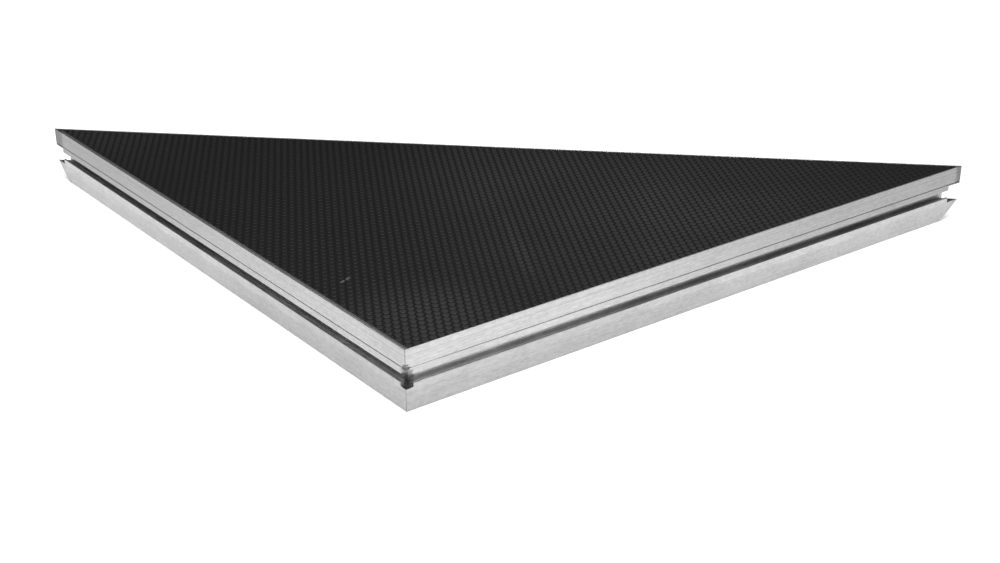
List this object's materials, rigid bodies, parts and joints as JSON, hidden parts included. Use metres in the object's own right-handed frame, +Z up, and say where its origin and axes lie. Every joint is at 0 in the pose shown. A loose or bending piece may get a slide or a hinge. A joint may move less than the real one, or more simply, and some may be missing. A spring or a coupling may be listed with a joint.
{
  "type": "triangular stage deck",
  "caption": "Right-angled triangular stage deck: black anti-slip board in a mitred frame of slotted aluminium extrusion, with clamped leg sockets in its corners.",
  "frame": {"origin": "on the underside plane, midway along the long side, which is the centre of the 1 m square that the deck halves", "axes": "+Z up, out of the deck's top; the right angle is at -X -Y; the right side runs along +X from it, the left side along +Y"},
  "size_m": [0.9997, 0.9997, 0.08],
  "materials": {
    "board": "black phenolic film with raised anti-slip dots, satin",
    "extrusion": "mill finish, fine die lines along the length",
    "plate": "mill finish sheet, slightly dull",
    "joist": "mill finish",
    "socket": "turned and welded, matt",
    "fastener": "zinc plated",
    "spindle": "zinc plated, lightly oiled",
    "knob": "moulded, fine grain"
  },
  "bodies": {
    "deck": {"deck_board": "board", "frame_right": "extrusion", "frame_left": "extrusion", "frame_long": "extrusion", "closing_plate_right": "plate", "closing_plate_left": "plate", "joist_long": "joist", "joist_short": "joist", "board_screw_01": "fastener", "board_screw_02": "fastener", "board_screw_03": "fastener", "board_screw_04": "fastener", "board_screw_05": "fastener", "board_screw_06": "fastener", "board_screw_07": "fastener", "board_screw_08": "fastener", "board_screw_09": "fastener", "board_screw_10": "fastener", "board_screw_11": "fastener", "board_screw_12": "fastener", "board_screw_13": "fastener", "board_screw_14": "fastener", "board_screw_15": "fastener", "board_screw_16": "fastener", "board_screw_17": "fastener", "board_screw_18": "fastener", "leg_socket_apex": "socket", "leg_stop_apex": "plate", "clamp_boss_apex": "socket", "leg_socket_right": "socket", "leg_stop_right": "plate", "clamp_boss_right": "socket", "leg_socket_left": "socket", "leg_stop_left": "plate", "clamp_boss_left": "socket"},
    "shoe_apex": {"clamp_shoe_apex": "spindle"},
    "screw_apex": {"clamp_screw_apex": "spindle", "clamp_knob_apex": "knob"},
    "shoe_right": {"clamp_shoe_right": "spindle"},
    "screw_right": {"clamp_screw_right": "spindle", "clamp_knob_right": "knob"},
    "shoe_left": {"clamp_shoe_left": "spindle"},
    "screw_left": {"clamp_screw_left": "spindle", "clamp_knob_left": "knob"}
  },
  "joints": [
    {"name": "clamp_slide_apex", "type": "slide", "parent": "deck", "child": "shoe_apex", "axis": [-0.7071, -0.7071, 0], "range_m": [0, 0.008]},
    {"name": "clamp_turn_apex", "type": "hinge", "parent": "shoe_apex", "child": "screw_apex", "pos_m": [-0.40435, -0.40435, 0.032], "axis": [-0.7071, -0.7071, 0], "range_deg": [0, 1620]},
    {"name": "clamp_slide_right", "type": "slide", "parent": "deck", "child": "shoe_right", "axis": [0.9239, -0.3827, 0], "range_m": [0, 0.008]},
    {"name": "clamp_turn_right", "type": "hinge", "parent": "shoe_right", "child": "screw_right", "pos_m": [0.30823, -0.42057, 0.032], "axis": [0.9239, -0.3827, 0], "range_deg": [0, 1620]},
    {"name": "clamp_slide_left", "type": "slide", "parent": "deck", "child": "shoe_left", "axis": [-0.3827, 0.9239, 0], "range_m": [0, 0.008]},
    {"name": "clamp_turn_left", "type": "hinge", "parent": "shoe_left", "child": "screw_left", "pos_m": [-0.42057, 0.30823, 0.032], "axis": [-0.3827, 0.9239, 0], "range_deg": [0, 1620]}
  ],
  "couplings": [
    {"joint": "clamp_slide_apex", "follows": "clamp_turn_apex", "m_per_rad": 0.00027852},
    {"joint": "clamp_slide_right", "follows": "clamp_turn_right", "m_per_rad": 0.00027852},
    {"joint": "clamp_slide_left", "follows": "clamp_turn_left", "m_per_rad": 0.00027852}
  ]
}
